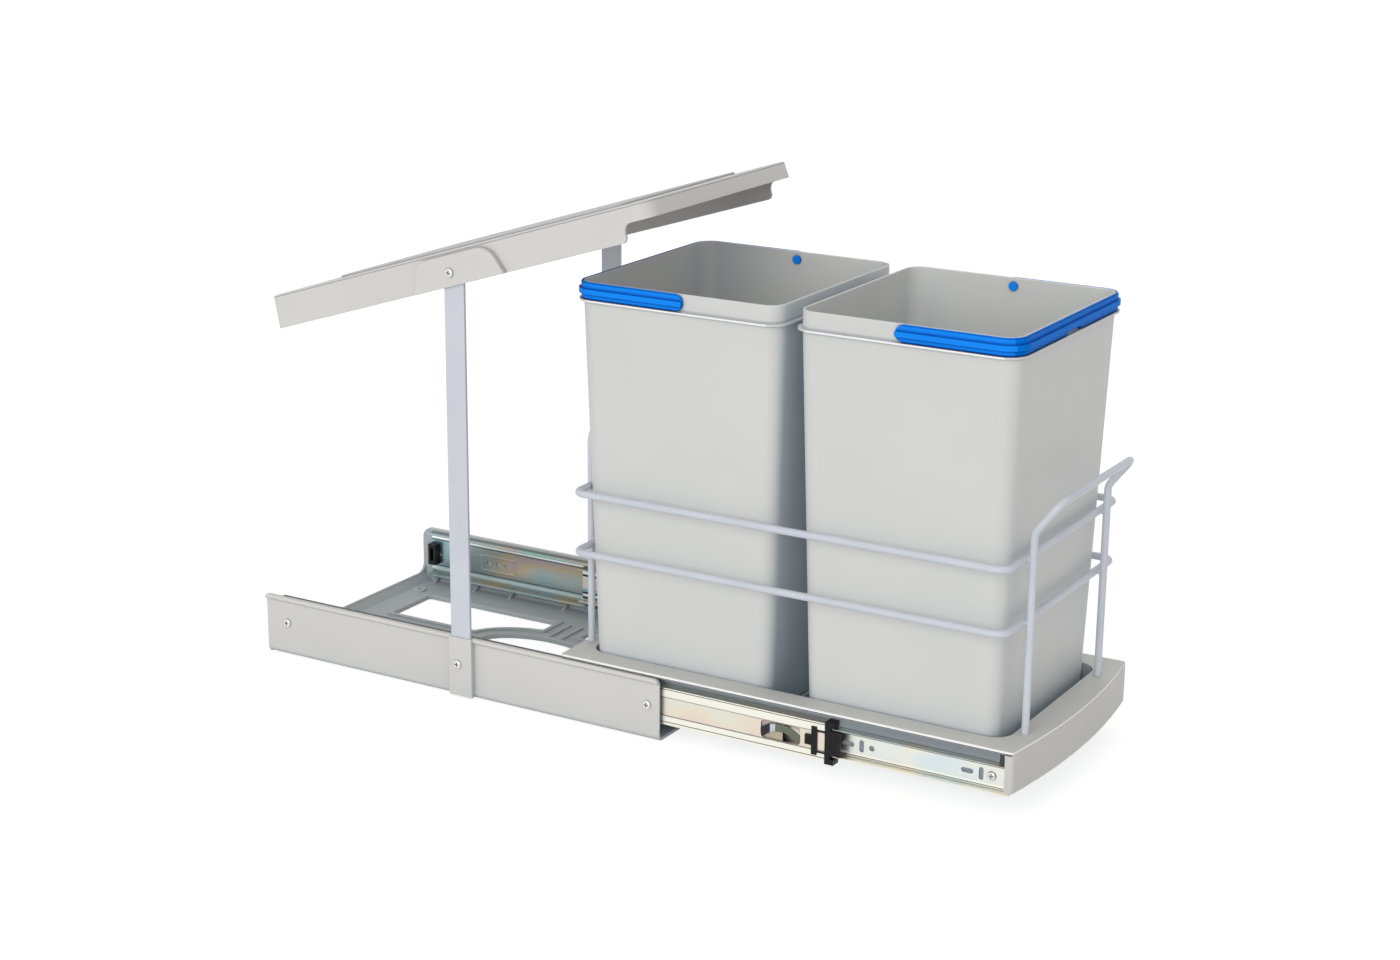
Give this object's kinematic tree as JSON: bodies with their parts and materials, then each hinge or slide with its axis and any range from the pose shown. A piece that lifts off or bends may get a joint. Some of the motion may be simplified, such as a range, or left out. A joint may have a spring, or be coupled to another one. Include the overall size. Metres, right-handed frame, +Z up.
{
  "type": "pull-out waste bin frame",
  "caption": "Pull-out frame for a cabinet floor: slides carry a tray with removable bins in a wire basket, under a lid that tilts on uprights.",
  "frame": {"origin": "centre of the four floor screw holes, on the underside of the base", "axes": "+X is the pull-out direction, towards the front; Y runs across the frame, the near side at -Y; +Z is up"},
  "size_m": [0.7864, 0.2678, 0.4767],
  "materials": {
    "shell_plastic": "satin light grey moulding",
    "tray_plastic": "satin mid grey moulding",
    "handle_plastic": "semi-gloss blue moulding",
    "black_plastic": "satin black moulding",
    "coated_steel": "smooth pale grey powder coat",
    "zinc_steel": "bright zinc plate with a faint rainbow film",
    "bright_steel": "polished steel balls and screws"
  },
  "bodies": {
    "base": {"base_plate": "shell_plastic", "outer_rail_near": "zinc_steel", "outer_rail_far": "zinc_steel", "rail_bumpers": "black_plastic", "wall_screws": "bright_steel", "upright_near": "coated_steel", "upright_far": "coated_steel", "upright_screws": "bright_steel", "pivot_screws": "bright_steel", "pivot_washers": "bright_steel", "pivot_nuts": "bright_steel"},
    "tray": {"tray": "tray_plastic", "drawer_rail_near": "zinc_steel", "drawer_rail_far": "zinc_steel", "tray_rail_screws": "bright_steel", "lower_ring": "coated_steel", "upper_ring": "coated_steel", "handle_hoop": "coated_steel", "rear_hoop": "coated_steel"},
    "lid": {"lid_shell": "shell_plastic"},
    "rear_bin": {"rear_bin": "shell_plastic"},
    "front_bin": {"front_bin": "shell_plastic"},
    "rear_handle": {"rear_bin_handle": "handle_plastic"},
    "front_handle": {"front_bin_handle": "handle_plastic"},
    "intermediate_near": {"intermediate_rail_near": "zinc_steel", "stop_clip_near": "black_plastic", "slide_latch_near": "zinc_steel"},
    "outer_cage_near": {"outer_cage_near": "zinc_steel", "outer_balls_near": "bright_steel"},
    "inner_cage_near": {"inner_cage_near": "zinc_steel", "inner_balls_near": "bright_steel"},
    "intermediate_far": {"intermediate_rail_far": "zinc_steel", "stop_clip_far": "black_plastic", "slide_latch_far": "zinc_steel"},
    "outer_cage_far": {"outer_cage_far": "zinc_steel", "outer_balls_far": "bright_steel"},
    "inner_cage_far": {"inner_cage_far": "zinc_steel", "inner_balls_far": "bright_steel"}
  },
  "joints": [
    {"name": "tray_slide", "type": "slide", "parent": "base", "child": "tray", "axis": [1, 0, 0], "range_m": [-0.318, 0.07]},
    {"name": "lid_hinge", "type": "hinge", "parent": "base", "child": "lid", "pos_m": [0.0076, 0, 0.3953], "axis": [0, -1, 0], "range_deg": [-17.42, 3.85]},
    {"name": "rear_bin_lift", "type": "slide", "parent": "tray", "child": "rear_bin", "axis": [0, 0, 1], "range_m": [0, 0.03]},
    {"name": "front_bin_lift", "type": "slide", "parent": "tray", "child": "front_bin", "axis": [0, 0, 1], "range_m": [0, 0.2]},
    {"name": "rear_handle_swing", "type": "hinge", "parent": "rear_bin", "child": "rear_handle", "pos_m": [0.22275, 0, 0.39033], "axis": [0, 1, 0], "range_deg": [0, 25]},
    {"name": "front_handle_swing", "type": "hinge", "parent": "front_bin", "child": "front_handle", "pos_m": [0.43555, 0, 0.39033], "axis": [0, -1, 0], "range_deg": [0, 95]},
    {"name": "intermediate_near_slide", "type": "slide", "parent": "base", "child": "intermediate_near", "axis": [1, 0, 0], "range_m": [-0.17381, 0.03865]},
    {"name": "outer_cage_near_slide", "type": "slide", "parent": "base", "child": "outer_cage_near", "axis": [1, 0, 0], "range_m": [-0.08716, 0.01958]},
    {"name": "inner_cage_near_slide", "type": "slide", "parent": "base", "child": "inner_cage_near", "axis": [1, 0, 0], "range_m": [-0.24615, 0.05458]},
    {"name": "intermediate_far_slide", "type": "slide", "parent": "base", "child": "intermediate_far", "axis": [1, 0, 0], "range_m": [-0.17381, 0.03865]},
    {"name": "outer_cage_far_slide", "type": "slide", "parent": "base", "child": "outer_cage_far", "axis": [1, 0, 0], "range_m": [-0.08716, 0.01958]},
    {"name": "inner_cage_far_slide", "type": "slide", "parent": "base", "child": "inner_cage_far", "axis": [1, 0, 0], "range_m": [-0.24615, 0.05458]}
  ],
  "couplings": [
    {"joint": "lid_hinge", "follows": "tray_slide", "rad_per_m": 0.9551},
    {"joint": "intermediate_near_slide", "follows": "tray_slide", "ratio": 0.545},
    {"joint": "outer_cage_near_slide", "follows": "tray_slide", "ratio": 0.2725},
    {"joint": "inner_cage_near_slide", "follows": "tray_slide", "ratio": 0.7725},
    {"joint": "intermediate_far_slide", "follows": "tray_slide", "ratio": 0.545},
    {"joint": "outer_cage_far_slide", "follows": "tray_slide", "ratio": 0.2725},
    {"joint": "inner_cage_far_slide", "follows": "tray_slide", "ratio": 0.7725}
  ]
}
